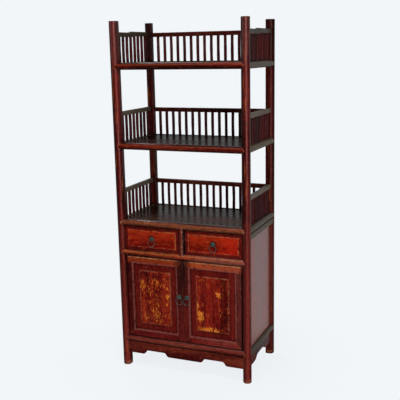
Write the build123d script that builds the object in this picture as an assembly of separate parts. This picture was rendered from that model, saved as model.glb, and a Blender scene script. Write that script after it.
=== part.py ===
from build123d import *
import os

# Book cabinet: four round posts, two open shelves and a case with two drawers over two doors.
# Millimetres, +Z up, front towards -Y, origin on the floor in the middle of the four posts.

# ---- Posts ----
post_height = 1750.0
post_spacing_x = 665.0          # post centre to post centre, left to right
post_spacing_y = 382.0          # post centre to post centre, front to back
post_radius = 21.0
post_corner_radius = 6.0        # the square inner corner is eased by this
post_top_edge = 2.5
post_foot_edge = 3.5

# ---- Half-round rails ----
rail_height = 33.0              # the nose is a half circle of this diameter
rail_depth = 36.0
top_shelf_z = 1554.0            # top faces of the rails
middle_shelf_z = 1170.0
case_top_z = 785.0
drawer_rail_z = 630.0
bottom_rail_z = 167.0
fascia_height = 26.0            # flat band below the case-top side rails
fascia_recess = 3.0

# ---- Joints and clearances ----
scribe_gap = 0.1                # rail end to post, divider end to rail
joint_clearance = 0.1           # tenon, tongue or dowel to its hole
tenon_length = 14.0
tenon_thickness = 12.0
tenon_height = 21.0

# ---- Shelf boards, floor and battens ----
board_thickness = 12.0
board_recess = 1.5              # board face below the rail's top
board_edge_gap = 0.5
board_tongue_thickness = 6.0
board_tongue_depth = 7.0
board_groove_room = 0.5         # left at a tongue's edge for the board to move
batten_width = 30.0
batten_height = 18.0
batten_offset = 110.0           # batten centre from the cabinet's middle
batten_tenon_length = 6.0
batten_tenon_shoulder = 4.0

# ---- Galleries ----
gallery_rail_width = 18.0
gallery_rail_height = 22.0
gallery_rail_top_edge = 5.0
gallery_rail_bottom_edge = 1.5
gallery_tenon_length = 12.0
gallery_tenon_thickness = 10.0
gallery_tenon_height = 14.0
top_gallery_height = 146.5      # back gallery's top above its shelf rail
middle_gallery_height = 143.0
lower_gallery_height = 142.0
side_gallery_rise = 5.5         # side gallery rails stand this much above the back one
top_side_drop = 1.5             # front part of the top side rails, below the back rail
top_side_step = 5.0             # their rear part steps up by this
top_side_step_y = -32.0         # where the upper edge steps up
top_side_step_lag = 34.0        # the lower edge steps up this much further back
top_side_step_length = 16.0
spindle_radius = 7.6
spindle_tenon_radius = 4.0
spindle_tenon_length = 8.0
back_spindle_count = 16
side_spindle_count = 8

# ---- Case panels and aprons ----
panel_recess = 15.5             # from the nose of the rails to the panel's face
panel_thickness = 10.0
panel_tongue = 6.0
apron_thickness = 14.0
apron_low_z = 72.0
apron_bay_rise = 21.0
apron_edge = 2.0
front_apron_recess = 7.0
front_bay_centre = 159.5
front_bay_flat = 87.0           # straight top of a bay
front_bay_curve = 30.0          # length of the curve down on each side of a bay
side_apron_recess = 13.5
side_bay_flat = 80.0
side_bay_curve = 52.0

# ---- Drawers ----
divider_width = 34.0
divider_tenon_width = 20.0
divider_tenon_thickness = 10.0
divider_tenon_length = 10.0
front_recess = 11.0             # doors and drawer fields behind the nose of the rails
drawer_side_gap = 1.0
drawer_foot_gap = 1.5
drawer_top_gap = 2.5
drawer_front_thickness = 20.0
drawer_border = 16.0
drawer_field_rise = 3.0
drawer_field_corner = 6.0
drawer_front_edge = 1.5
drawer_field_edge = 2.4
drawer_side_height = 104.0
drawer_side_thickness = 11.0
drawer_side_inset = 7.5         # box side behind the front's outer edge
drawer_middle_inset = 3.0       # and behind its edge beside the divider
drawer_lap = 8.0                # the sides are let this deep into the front
drawer_length = 331.0           # from the front's back face to the end of the box
drawer_back_inset = 8.0
drawer_back_housing = 4.0       # the back is let this deep into the sides
drawer_bottom_thickness = 6.0
drawer_bottom_height = 10.0     # underside of the bottom above the foot of the sides
drawer_bottom_tongue = 5.0
runner_gap = 0.3                # between a drawer and its runners
runner_margin = 4.0             # ledge beyond the drawer side it carries
runner_height = 18.0
runner_post_gap = 0.5
runner_tenon_length = 6.0
runner_tenon_shoulder = 5.0
guide_height = 15.0

# ---- Doors ----
door_thickness = 22.0
door_frame_width = 38.0
door_side_gap = 1.0
door_meeting_gap = 1.5
door_top_gap = 2.0
door_foot_gap = 2.0
door_bead_radius = 6.0
door_edge_radius = 2.0
door_mitre_depth = 5.5          # the hinge stile runs full height behind the mitre of the face
door_tenon_thickness = 5.0
door_tenon_height = 18.0
door_tenon_back = 16.0          # a tenon stops this far from the door's side edge
door_panel_recess = 8.0         # flat border behind the frame's face
door_tongue_thickness = 6.0
door_tongue_depth = 8.0
door_field_rise = 6.0
door_field_border_x = 30.0
door_field_border_z = 33.0
door_field_corner = 7.0
door_field_edge = 4.5
pivot_radius = 4.5
pivot_length = 9.0
pivot_clearance = 0.05
pivot_end_gap = 1.0

# ---- Ring pulls ----
plate_radius = 12.0
plate_thickness = 1.5
plate_edge = 0.5
ring_radius = 17.2              # centre line of the ring's wire
ring_wire_radius = 2.0
ring_front = 4.2                # ring's plane in front of the wood
ring_slack = 0.4                # the ring hangs this far below the eye's middle
staple_radius = 4.2             # centre line of the eye
staple_wire_radius = 1.4
staple_depth = 11.0             # its legs in the wood
staple_below_plate = 3.0        # eye below the plate's centre
door_pull_from_edge = 20.0      # plate centre from the meeting edge
door_pull_rise = 23.0           # plate centre above the middle of the door
drawer_pull_rise = 1.5          # plate centre above the middle of the drawer front

# ---- Derived places ----
half_x = post_spacing_x / 2
half_y = post_spacing_y / 2
clear_half_x = half_x - post_radius         # clear opening between the posts
inner_half_x = half_x + post_radius - rail_depth
inner_half_y = half_y + post_radius - rail_depth
nose_y = -(half_y + post_radius)            # front-most line of the posts and rails
face_y = nose_y + front_recess              # face of the doors and drawer fields
case_top_underside = case_top_z - rail_height
drawer_rail_underside = drawer_rail_z - rail_height
bottom_rail_underside = bottom_rail_z - rail_height
fascia_underside = case_top_underside - fascia_height

door_left_x = -clear_half_x + door_side_gap
door_right_x = -door_meeting_gap / 2
door_low_z = bottom_rail_z + door_foot_gap
door_high_z = drawer_rail_underside - door_top_gap
door_back_y = face_y + door_thickness
pivot_x = door_left_x + door_thickness / 2
pivot_y = face_y + door_thickness / 2

drawer_left_x = -clear_half_x + drawer_side_gap
drawer_right_x = -divider_width / 2 - drawer_side_gap
drawer_low_z = drawer_rail_z + drawer_foot_gap
drawer_high_z = case_top_underside - drawer_top_gap
drawer_back_y = face_y + drawer_front_thickness
box_left_x = drawer_left_x + drawer_side_inset
box_right_x = drawer_right_x - drawer_middle_inset
box_low_z = drawer_rail_z + runner_gap
box_end_y = drawer_back_y + drawer_length

drawer_pull_x = (drawer_left_x + drawer_right_x) / 2
drawer_pull_z = (drawer_low_z + drawer_high_z) / 2 + drawer_pull_rise
door_pull_x = door_right_x - door_pull_from_edge
door_pull_z = (door_low_z + door_high_z) / 2 + door_pull_rise

# A side's frame has x along the rail, y inwards from its nose and z up.
side_place = {
    "front": Pos(0, nose_y, 0),
    "back": Pos(0, -nose_y, 0) * Rot(0, 0, 180),
    "left": Pos(-(half_x + post_radius), 0, 0) * Rot(0, 0, -90),
    "right": Pos(half_x + post_radius, 0, 0) * Rot(0, 0, 90),
}
side_spacing = {
    "front": post_spacing_x,
    "back": post_spacing_x,
    "left": post_spacing_y,
    "right": post_spacing_y,
}

os.makedirs("parts", exist_ok=True)


def save(node, *shapes):
    """Write one node: a single solid, or a group of separate solids."""
    solids = [solid for shape in shapes for solid in shape.solids()]
    export_step(solids[0] if len(solids) == 1 else Compound(children=solids), f"parts/{node}.step")


def block(x_limits, y_limits, z_limits):
    """A box between three pairs of limits."""
    limits = [sorted(pair) for pair in (x_limits, y_limits, z_limits)]
    middle = [(low + high) / 2 for low, high in limits]
    return Pos(*middle) * Box(*[high - low for low, high in limits])


def swapped(limits):
    """The same limits on the other side of the middle."""
    return (-limits[1], -limits[0])


# ---------------------------------------------------------------- posts

post_place = {
    "post_front_left": Pos(-half_x, -half_y, 0),
    "post_front_right": Pos(half_x, -half_y, 0) * Rot(0, 0, 90),
    "post_back_right": Pos(half_x, half_y, 0) * Rot(0, 0, 180),
    "post_back_left": Pos(-half_x, half_y, 0) * Rot(0, 0, 270),
}


def post_section(growth=0.0):
    """Round outside and square towards +X +Y, as the front left post stands."""
    radius = post_radius + growth
    section = Circle(radius) + Pos(radius / 2, radius / 2) * Rectangle(radius, radius)
    corner = section.vertices().sort_by_distance((2 * radius, 2 * radius, 0))[0]
    return fillet(corner, post_corner_radius)


def plain_post():
    post = extrude(post_section(), post_height)
    post = fillet(post.edges().group_by(Axis.Z)[-1], post_top_edge)
    return fillet(post.edges().group_by(Axis.Z)[0], post_foot_edge)


# What a rail, board or apron is cut back from where it meets the posts.
post_space = [place * extrude(post_section(scribe_gap), post_height) for place in post_place.values()]
post_cuts = []                  # mortises and grooves, gathered as the other pieces are made


# ---------------------------------------------------------------- rails

def rounded_bar(length, height=rail_height, growth=0.0):
    """Bar along X with a half-round nose towards -Y, its crest on y = 0, centred on z = 0."""
    nose = height / 2
    flat = rail_depth - nose + growth
    section = Pos(nose, 0) * Circle(nose + growth)
    section += Pos(nose + flat / 2, 0) * Rectangle(flat, height + 2 * growth)
    return extrude(Plane.YZ * section, length / 2, both=True)


def tenon_pair(
    side, z_middle, length=tenon_length, thickness=tenon_thickness, height=tenon_height, growth=0.0
):
    """The tenons at a rail's two ends; with growth, their mortises."""
    shoulder = side_spacing[side] / 2 - post_radius
    pair = []
    for end in (-1, 1):
        pair.append(side_place[side] * block(
            (end * (shoulder - 2), end * (shoulder + length + growth)),
            (post_radius - thickness / 2 - growth, post_radius + thickness / 2 + growth),
            (z_middle - height / 2 - growth, z_middle + height / 2 + growth),
        ))
    return pair


def rail(side, z_top, cuts, fascia=False):
    """A half-round rail between two posts, scribed over them, with its tenons."""
    z_middle = z_top - rail_height / 2
    bar = Pos(0, 0, z_middle) * rounded_bar(side_spacing[side])
    if fascia:
        half = side_spacing[side] / 2
        bar += block((-half, half), (fascia_recess, rail_depth), (fascia_underside, case_top_underside))
    bar = side_place[side] * bar - post_space
    post_cuts.extend(tenon_pair(side, z_middle, growth=joint_clearance))
    return bar + tenon_pair(side, z_middle) - cuts


# ---------------------------------------------------------------- boards in their frames

def tongued_board(z_rail_top):
    """Floating board of a frame: a tongue all round, its corners notched round the posts."""
    top = z_rail_top - board_recess
    bottom = top - board_thickness
    x, y = inner_half_x - board_edge_gap, inner_half_y - board_edge_gap
    body = block((-x, x), (-y, y), (bottom, top))
    x, y = inner_half_x + board_tongue_depth, inner_half_y + board_tongue_depth
    return body + block((-x, x), (-y, y), (bottom, bottom + board_tongue_thickness)) - post_space


def board_groove(z_rail_top):
    """Space of a board's tongue; the board sits on its floor."""
    bottom = z_rail_top - board_recess - board_thickness
    x = inner_half_x + board_tongue_depth + board_groove_room
    y = inner_half_y + board_tongue_depth + board_groove_room
    return block((-x, x), (-y, y), (bottom, bottom + board_tongue_thickness + joint_clearance))


def battens(z_rail_top, growth=0.0):
    """The two battens under a board; with growth, the space of their tenons."""
    top = z_rail_top - board_recess - board_thickness
    half = batten_width / 2
    tenon_half = half - batten_tenon_shoulder + growth
    reach = inner_half_y + batten_tenon_length + growth
    tenon_limits = (
        top - batten_height + batten_tenon_shoulder - growth,
        top - batten_tenon_shoulder + growth,
    )
    pair = []
    for x in (-batten_offset, batten_offset):
        tenon = block((x - tenon_half, x + tenon_half), (-reach, reach), tenon_limits)
        body = block((x - half, x + half), (-inner_half_y, inner_half_y), (top - batten_height, top))
        pair.append(tenon if growth else body + tenon)
    return pair


def frame_cuts(z_rail_top):
    """What a board and its battens take out of the rails around them."""
    return [board_groove(z_rail_top)] + battens(z_rail_top, joint_clearance)


# ---------------------------------------------------------------- galleries

spindle_count = {"back": back_spindle_count, "left": side_spindle_count, "right": side_spindle_count}


def spindle_places(side):
    """Spindle centres along a side, with equal spaces between spindles and posts."""
    clear = side_spacing[side] - 2 * post_radius
    count = spindle_count[side]
    pitch = (clear + 2 * spindle_radius) / (count + 1)
    return [(i - (count - 1) / 2) * pitch for i in range(count)]


def spindle_hole(side, x, z):
    """Socket for a spindle's dowel, above or below z."""
    depth = spindle_tenon_length + joint_clearance
    socket = Cylinder(spindle_tenon_radius + joint_clearance, 2 * depth)
    return side_place[side] * Pos(x, post_radius, z) * socket


def spindle(side, x, z_bottom, z_top):
    """A round stick with a dowel at each end."""
    length = z_top - z_bottom
    stick = Cylinder(spindle_radius, length)
    stick += Cylinder(spindle_tenon_radius, length + 2 * spindle_tenon_length)
    return side_place[side] * Pos(x, post_radius, (z_bottom + z_top) / 2) * stick


def gallery_outline(half, z_low, step):
    """Side view of a gallery rail along x: a plain strip, or one that steps up towards +x."""
    z_high = z_low + gallery_rail_height
    if not step:
        corners = (-half, z_low), (half, z_low), (half, z_high), (-half, z_high)
        return make_face(Polyline(*corners, close=True))
    upper_start = top_side_step_y - top_side_step_length / 2
    upper_end = upper_start + top_side_step_length
    lower_start, lower_end = upper_start + top_side_step_lag, upper_end + top_side_step_lag
    return make_face([
        Line((-half, z_low), (lower_start, z_low)),
        Spline((lower_start, z_low), (lower_end, z_low + step), tangents=[(1, 0), (1, 0)]),
        Line((lower_end, z_low + step), (half, z_low + step)),
        Line((half, z_low + step), (half, z_high + step)),
        Line((half, z_high + step), (upper_end, z_high + step)),
        Spline((upper_end, z_high + step), (upper_start, z_high), tangents=[(-1, 0), (-1, 0)]),
        Line((upper_start, z_high), (-half, z_high)),
        Line((-half, z_high), (-half, z_low)),
    ])


def gallery_rail(side, z_low, step):
    """Top rail of a gallery with its tenons. z_low is its underside at the front end."""
    half = side_spacing[side] / 2
    bar = extrude(Plane.XZ * gallery_outline(half, z_low, step), gallery_rail_width / 2, both=True)

    def long_edges(low, high):
        return bar.edges().filter_by(
            lambda e: low < e.center().Z < high
            and abs(e.center().Y) > gallery_rail_width / 2 - 0.01
            and abs(e.center().X) < half - 1
        )

    z_mid = z_low + (gallery_rail_height + step) / 2
    bar = fillet(long_edges(z_mid, z_mid + gallery_rail_height), gallery_rail_top_edge)
    bar = fillet(long_edges(z_low - 1, z_low + step + 1), gallery_rail_bottom_edge)
    if side == "left":                      # x runs towards the front on that side
        bar = mirror(bar, about=Plane.YZ)
    bar = side_place[side] * Pos(0, post_radius, 0) * bar - post_space

    size = {
        "length": gallery_tenon_length,
        "thickness": gallery_tenon_thickness,
        "height": gallery_tenon_height,
    }
    front, rear = z_low + gallery_rail_height / 2, z_low + step + gallery_rail_height / 2
    levels = (rear, front) if side == "left" else (front, rear)
    for end, z in enumerate(levels):
        bar += tenon_pair(side, z, **size)[end]
        post_cuts.append(tenon_pair(side, z, growth=joint_clearance, **size)[end])
    return bar


def gallery(name, z_shelf, height, side_offset, side_step=0.0):
    """One level's gallery: its back and side rails on their spindles."""
    z_back = z_shelf + height - gallery_rail_height
    rails, sticks = [], []
    for side in ("back", "left", "right"):
        z_low = z_back if side == "back" else z_back + side_offset
        step = 0.0 if side == "back" else side_step
        body = gallery_rail(side, z_low, step)
        towards_back = -1 if side == "left" else 1
        for x in spindle_places(side):
            stepped = towards_back * x > top_side_step_y + top_side_step_lag
            z_top = z_low + step if stepped else z_low
            sticks.append(spindle(side, x, z_shelf, z_top))
            body -= spindle_hole(side, x, z_top)
        rails.append(body)
    save(f"{name}_gallery_rails", *rails)
    save(f"{name}_gallery_spindles", *sticks)


# ---------------------------------------------------------------- case panels and aprons

panel_limits = {
    "side_panel_left": ("left", bottom_rail_z, fascia_underside),
    "side_panel_right": ("right", bottom_rail_z, fascia_underside),
    "back_panel_upper": ("back", drawer_rail_z, case_top_underside),
    "back_panel_lower": ("back", bottom_rail_z, drawer_rail_underside),
}


def panel(side, z_low, z_high, growth=0.0):
    """A panel let into the posts and rails around it; with growth, its grooves."""
    reach = side_spacing[side] / 2 - post_radius + panel_tongue + growth
    return side_place[side] * block(
        (-reach, reach),
        (panel_recess - growth, panel_recess + panel_thickness + growth),
        (z_low - panel_tongue - growth, z_high + panel_tongue + growth),
    )


def apron(side, recess, bays, flat, curve):
    """Shaped board below a bottom rail, scribed to the posts, with raised bays along its foot."""
    half = side_spacing[side] / 2
    low, high, top = apron_low_z, apron_low_z + apron_bay_rise, bottom_rail_underside
    edges = [*Polyline((-half, low), (-half, top), (half, top), (half, low)).edges()]
    x = half
    for centre in sorted(bays, reverse=True):
        right, left = centre + flat / 2, centre - flat / 2
        edges += [
            Line((x, low), (right + curve, low)),
            Spline((right + curve, low), (right, high), tangents=[(-1, 0), (-1, 0)]),
            Line((right, high), (left, high)),
            Spline((left, high), (left - curve, low), tangents=[(-1, 0), (-1, 0)]),
        ]
        x = left - curve
    edges.append(Line((x, low), (-half, low)))
    board = extrude(Plane.XZ * make_face(edges), -apron_thickness)
    front_edges = board.edges().group_by(Axis.Y)[0].filter_by(lambda e: abs(e.center().X) < half - 1)
    board = fillet(front_edges, apron_edge)
    return side_place[side] * Pos(0, recess, 0) * board - post_space


# ---------------------------------------------------------------- divider and runners

def divider_tenon(growth=0.0):
    """The divider's stub tenons, one block from end to end; with growth, their mortises."""
    half_width, half_thickness = divider_tenon_width / 2 + growth, divider_tenon_thickness / 2 + growth
    y, reach = nose_y + post_radius, divider_tenon_length + growth
    return block(
        (-half_width, half_width),
        (y - half_thickness, y + half_thickness),
        (drawer_rail_z - reach, case_top_underside + reach),
    )


def divider():
    """Upright between the drawers, scribed over the rails above and below it."""
    low, high = drawer_rail_z - rail_height / 2, case_top_z - rail_height / 2
    bar = Pos(0, nose_y, (low + high) / 2) * Rot(0, 90, 0) * rounded_bar(high - low, divider_width)
    for z in (low, high):
        bar -= Pos(0, nose_y, z) * rounded_bar(4 * divider_width, growth=scribe_gap)
    return bar + divider_tenon()


def runners(growth=0.0):
    """Left, middle and right drawer runners; with growth, the space of their tenons."""
    wall = -clear_half_x + runner_post_gap
    left = (wall, box_left_x + drawer_side_thickness + runner_margin)
    left_guide = (wall, box_left_x - runner_gap)
    middle = (box_right_x - drawer_side_thickness, -box_right_x + drawer_side_thickness)
    middle_guide = (box_right_x + runner_gap, -box_right_x - runner_gap)
    stop_y = drawer_back_y + runner_gap     # the outer guides stop the drawer fronts
    layout = (
        (left, left_guide, stop_y),
        (middle, middle_guide, -inner_half_y),
        (swapped(left), swapped(left_guide), stop_y),
    )
    low, high = drawer_rail_z - runner_height, drawer_rail_z
    inset = runner_tenon_shoulder - growth
    reach = inner_half_y + runner_tenon_length + growth
    parts = []
    for ledge, guide, guide_y in layout:
        tenon = block((ledge[0] + inset, ledge[1] - inset), (-reach, reach), (low + inset, high - inset))
        body = block(ledge, (-inner_half_y, inner_half_y), (low, high))
        body += block(guide, (guide_y, inner_half_y), (high, high + guide_height))
        parts.append(tenon if growth else body + tenon)
    return parts


# ---------------------------------------------------------------- ring pulls

def pull_legs(x, z, growth=0.0):
    """The two legs of a staple, or with growth the holes for them."""
    length = ring_front + staple_depth + growth
    leg = Rot(90, 0, 0) * Cylinder(staple_wire_radius + growth, length)
    y = face_y - ring_front + length / 2
    eye = z - staple_below_plate
    return [Pos(x, y, eye + rise) * leg for rise in (-staple_radius, staple_radius)]


def pull(name, x, z):
    """Round plate and staple as one node, and the ring as another. x and z are the plate's centre."""
    plate = Rot(90, 0, 0) * Cylinder(plate_radius, plate_thickness)
    plate = Pos(x, face_y - plate_thickness / 2, z) * plate
    plate = fillet(plate.edges().group_by(Axis.Y)[0], plate_edge) - pull_legs(x, z, joint_clearance)
    eye_y, eye_z = face_y - ring_front, z - staple_below_plate
    reach = staple_radius + staple_wire_radius
    bow = Pos(x, eye_y, eye_z) * Rot(0, 90, 0) * Torus(staple_radius, staple_wire_radius)
    bow &= block((x - reach, x + reach), (eye_y - 2 * reach, eye_y), (eye_z - 2 * reach, eye_z + 2 * reach))
    save(f"{name}_pull_mount", plate, bow + pull_legs(x, z))
    ring = Rot(90, 0, 0) * Torus(ring_radius, ring_wire_radius)
    save(f"{name}_pull_ring", Pos(x, eye_y, eye_z - ring_slack - ring_radius) * ring)


# ---------------------------------------------------------------- drawers

def drawer_sides():
    """The left drawer's two sides, each let into the front and reaching to the end of the box."""
    y_limits = drawer_back_y - drawer_lap, box_end_y
    z_limits = box_low_z, box_low_z + drawer_side_height
    return [
        block((box_left_x, box_left_x + drawer_side_thickness), y_limits, z_limits),
        block((box_right_x - drawer_side_thickness, box_right_x), y_limits, z_limits),
    ]


def drawer_back(growth=0.0):
    """The left drawer's back, housed in the sides; with growth, its housings."""
    reach = drawer_side_thickness - drawer_back_housing - growth
    end = box_end_y - drawer_back_inset + growth
    return block(
        (box_left_x + reach, box_right_x - reach),
        (end - drawer_side_thickness - 2 * growth, end),
        (box_low_z - growth, box_low_z + drawer_side_height + growth),
    )


def drawer_bottom(growth=0.0):
    """The left drawer's bottom board; with growth, the grooves around it."""
    reach = drawer_side_thickness - drawer_bottom_tongue - growth
    end = box_end_y - drawer_back_inset - drawer_side_thickness + drawer_bottom_tongue + growth
    low = box_low_z + drawer_bottom_height
    return block(
        (box_left_x + reach, box_right_x - reach),
        (drawer_back_y - drawer_bottom_tongue - growth, end),
        (low, low + drawer_bottom_thickness + growth),
    )


def drawer_front():
    """The left drawer's front: a border round a raised field."""
    border_y = face_y + drawer_field_rise
    board = block((drawer_left_x, drawer_right_x), (border_y, drawer_back_y), (drawer_low_z, drawer_high_z))
    board = fillet(board.edges().group_by(Axis.Y)[0], drawer_front_edge)
    width = drawer_right_x - drawer_left_x - 2 * drawer_border
    height = drawer_high_z - drawer_low_z - 2 * drawer_border
    outline = Plane.XZ * RectangleRounded(width, height, drawer_field_corner)
    field = extrude(outline, -(drawer_field_rise + drawer_lap))
    field = fillet(field.edges().group_by(Axis.Y)[0], drawer_field_edge)
    board += Pos(drawer_pull_x, face_y, (drawer_low_z + drawer_high_z) / 2) * field
    board -= pull_legs(drawer_pull_x, drawer_pull_z, joint_clearance)
    housings = [
        block(
            (limits.min.X - joint_clearance, limits.max.X + joint_clearance),
            (limits.min.Y - joint_clearance, box_end_y),
            (box_low_z - rail_height, limits.max.Z + joint_clearance),
        )
        for limits in (side.bounding_box() for side in drawer_sides())
    ]
    return board - housings - drawer_bottom(joint_clearance)


# ---------------------------------------------------------------- doors

opening_x = (door_left_x + door_frame_width, door_right_x - door_frame_width)
opening_z = (door_low_z + door_frame_width, door_high_z - door_frame_width)


def door_frame():
    """The left door's frame in one piece: half-round hinge edge, bead and panel groove."""
    middle_z, height = (door_low_z + door_high_z) / 2, door_high_z - door_low_z
    frame = block((pivot_x, door_right_x), (face_y, door_back_y), (door_low_z, door_high_z))
    frame += Pos(pivot_x, pivot_y, middle_z) * Cylinder(door_thickness / 2, height)
    outer = frame.edges().filter_by(
        lambda e: abs(e.center().Y - face_y) < 0.01 and e.center().X > pivot_x + 1
    )
    frame = fillet(outer, door_edge_radius)
    frame -= block(opening_x, (face_y - 1, door_back_y + 1), opening_z)
    bead = frame.edges().filter_by(
        lambda e: abs(e.center().Y - face_y) < 0.01
        and opening_x[0] - 0.1 < e.center().X < opening_x[1] + 0.1
        and opening_z[0] - 0.1 < e.center().Z < opening_z[1] + 0.1
    )
    frame = fillet(bead, door_bead_radius)
    return frame - door_groove(joint_clearance)


def door_groove(growth=0.0):
    """The door panel's tongued board; with growth, the groove around it."""
    reach = door_tongue_depth + growth
    return block(
        (opening_x[0] - reach, opening_x[1] + reach),
        (face_y + door_panel_recess - growth, face_y + door_panel_recess + door_tongue_thickness + growth),
        (opening_z[0] - reach, opening_z[1] + reach),
    )


def door_panel():
    """The left door's panel: a raised field on a thinner board that runs into the grooves."""
    width = opening_x[1] - opening_x[0] - 2 * door_field_border_x
    height = opening_z[1] - opening_z[0] - 2 * door_field_border_z
    outline = Plane.XZ * RectangleRounded(width, height, door_field_corner)
    field = extrude(outline, -(door_field_rise + door_tongue_thickness / 2))
    field = fillet(field.edges().group_by(Axis.Y)[0], door_field_edge)
    y = face_y + door_panel_recess - door_field_rise
    return door_groove() + Pos(sum(opening_x) / 2, y, sum(opening_z) / 2) * field


def mitred(limits_along, limits_across, upright):
    """Space of one piece of a mitred frame; limits_across run from its outer to its inner edge."""
    low, high = limits_along
    outer, inner = limits_across
    width = abs(inner - outer)
    beyond = outer + (outer - inner) / width            # a millimetre past the outer edge
    points = [(low - 1, beyond), (low + width, inner), (high - width, inner), (high + 1, beyond)]
    if upright:
        points = [(across, along) for along, across in points]
    prism = extrude(Plane.XZ * make_face(Polyline(*points, close=True)), door_thickness, both=True)
    return Pos(0, face_y, 0) * prism


def door_tenons(growth=0.0):
    """Tenons of the bottom and top rail, both ends in one block; with growth, their mortises."""
    y = pivot_y
    half = door_tenon_thickness / 2 + growth
    tenons = []
    for z in (door_low_z + door_frame_width / 2, door_high_z - door_frame_width / 2):
        tenons.append(block(
            (door_left_x + door_tenon_back - growth, door_right_x - door_tenon_back + growth),
            (y - half, y + half),
            (z - door_tenon_height / 2 - growth, z + door_tenon_height / 2 + growth),
        ))
    return tenons


def pivot_column():
    """Space of the hinge stile's full-height part, which carries the pins."""
    return block(
        (door_left_x - 1, door_left_x + door_thickness),
        (face_y + door_mitre_depth, door_back_y + 1),
        (door_low_z - 1, door_high_z + 1),
    )


def door_pieces():
    """The left door's hinge stile, meeting stile, rails and panel."""
    frame = door_frame()
    z_limits, x_limits = (door_low_z, door_high_z), (door_left_x, door_right_x)
    hinge_stile = frame & (mitred(z_limits, (door_left_x, opening_x[0]), True) + pivot_column())
    meeting_stile = frame & mitred(z_limits, (door_right_x, opening_x[1]), True)
    hinge_stile -= door_tenons(joint_clearance)
    meeting_stile -= door_tenons(joint_clearance)
    meeting_stile -= pull_legs(door_pull_x, door_pull_z, joint_clearance)
    pin = Cylinder(pivot_radius, pivot_length)
    for z, outward in ((door_low_z, -1), (door_high_z, 1)):
        hinge_stile += Pos(pivot_x, pivot_y, z + outward * pivot_length / 2) * pin
    bottom_tenon, top_tenon = door_tenons()
    rails = [
        (frame & mitred(x_limits, (door_low_z, opening_z[0]), False)) - pivot_column() + bottom_tenon,
        (frame & mitred(x_limits, (door_high_z, opening_z[1]), False)) - pivot_column() + top_tenon,
    ]
    return hinge_stile, meeting_stile, rails, door_panel()


def pivot_holes():
    """Holes for the doors' pins, in the drawer rail and in the bottom rail."""
    hole = Cylinder(pivot_radius + pivot_clearance, 2 * (pivot_length - door_top_gap + pivot_end_gap))
    return [
        Pos(x, pivot_y, z) * hole
        for x in (pivot_x, -pivot_x)
        for z in (bottom_rail_z, drawer_rail_underside)
    ]


# ---------------------------------------------------------------- nodes

panel_grooves = [panel(*limits, growth=joint_clearance) for limits in panel_limits.values()]
post_cuts.extend(panel_grooves)


def frame(name, z_top, cuts, fascia=False):
    """Front, back and side rails of one frame."""
    for side in ("front", "back"):
        save(f"{name}_rail_{side}", rail(side, z_top, cuts))
    save(f"{name}_rails_side", rail("left", z_top, cuts, fascia), rail("right", z_top, cuts, fascia))


def shelf(name, z_top, cuts=(), fascia=False):
    """A shelf frame with its board, and sockets for the gallery that stands on it."""
    sockets = [spindle_hole(side, x, z_top) for side in spindle_count for x in spindle_places(side)]
    frame(name, z_top, frame_cuts(z_top) + sockets + list(cuts), fascia)
    save(f"{name}_board", tongued_board(z_top))


shelf("top_shelf", top_shelf_z)
shelf("middle_shelf", middle_shelf_z)
shelf("case_top", case_top_z, panel_grooves + [divider_tenon(joint_clearance)], fascia=True)
frame("bottom", bottom_rail_z, frame_cuts(bottom_rail_z) + panel_grooves + pivot_holes())
save("cabinet_floor_board", tongued_board(bottom_rail_z))
frame_levels = (top_shelf_z, middle_shelf_z, case_top_z, bottom_rail_z)
save("shelf_battens", *[batten for z in frame_levels for batten in battens(z)])

drawer_rail_cuts = panel_grooves + pivot_holes() + runners(joint_clearance) + [divider_tenon(joint_clearance)]
for side in ("front", "back"):
    save(f"drawer_rail_{side}", rail(side, drawer_rail_z, drawer_rail_cuts))
save("drawer_divider", divider())
save("drawer_runners", *runners())

gallery("top", top_shelf_z, top_gallery_height, -top_side_drop, top_side_step)
gallery("middle", middle_shelf_z, middle_gallery_height, side_gallery_rise)
gallery("lower", case_top_z, lower_gallery_height, side_gallery_rise)

for node, limits in panel_limits.items():
    save(node, panel(*limits))
front_bays = (-front_bay_centre, front_bay_centre)
save("front_apron", apron("front", front_apron_recess, front_bays, front_bay_flat, front_bay_curve))
for side in ("left", "right"):
    save(f"side_apron_{side}", apron(side, side_apron_recess, (0,), side_bay_flat, side_bay_curve))

for node, place in post_place.items():
    save(node, place * plain_post() - post_cuts)

side_cuts = [drawer_back(joint_clearance), drawer_bottom(joint_clearance)]
left_sides = [side - side_cuts for side in drawer_sides()]
left_box = left_sides + [drawer_back() - drawer_bottom(joint_clearance)]
left_door = door_pieces()
for name, turn in (("left", lambda shape: shape), ("right", lambda shape: mirror(shape, about=Plane.YZ))):
    save(f"drawer_{name}_front", turn(drawer_front()))
    save(f"drawer_{name}_box", *[turn(piece) for piece in left_box])
    save(f"drawer_{name}_bottom", turn(drawer_bottom()))
    hinge_stile, meeting_stile, door_rails, door_board = left_door
    save(f"door_{name}_hinge_stile", turn(hinge_stile))
    save(f"door_{name}_meeting_stile", turn(meeting_stile))
    save(f"door_{name}_rails", *[turn(piece) for piece in door_rails])
    save(f"door_{name}_panel", turn(door_board))
    sign = 1 if name == "left" else -1
    pull(f"drawer_{name}", sign * drawer_pull_x, drawer_pull_z)
    pull(f"door_{name}", sign * door_pull_x, door_pull_z)
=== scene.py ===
import math
import random

import bmesh
import bpy
from mathutils import Matrix, Vector


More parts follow.
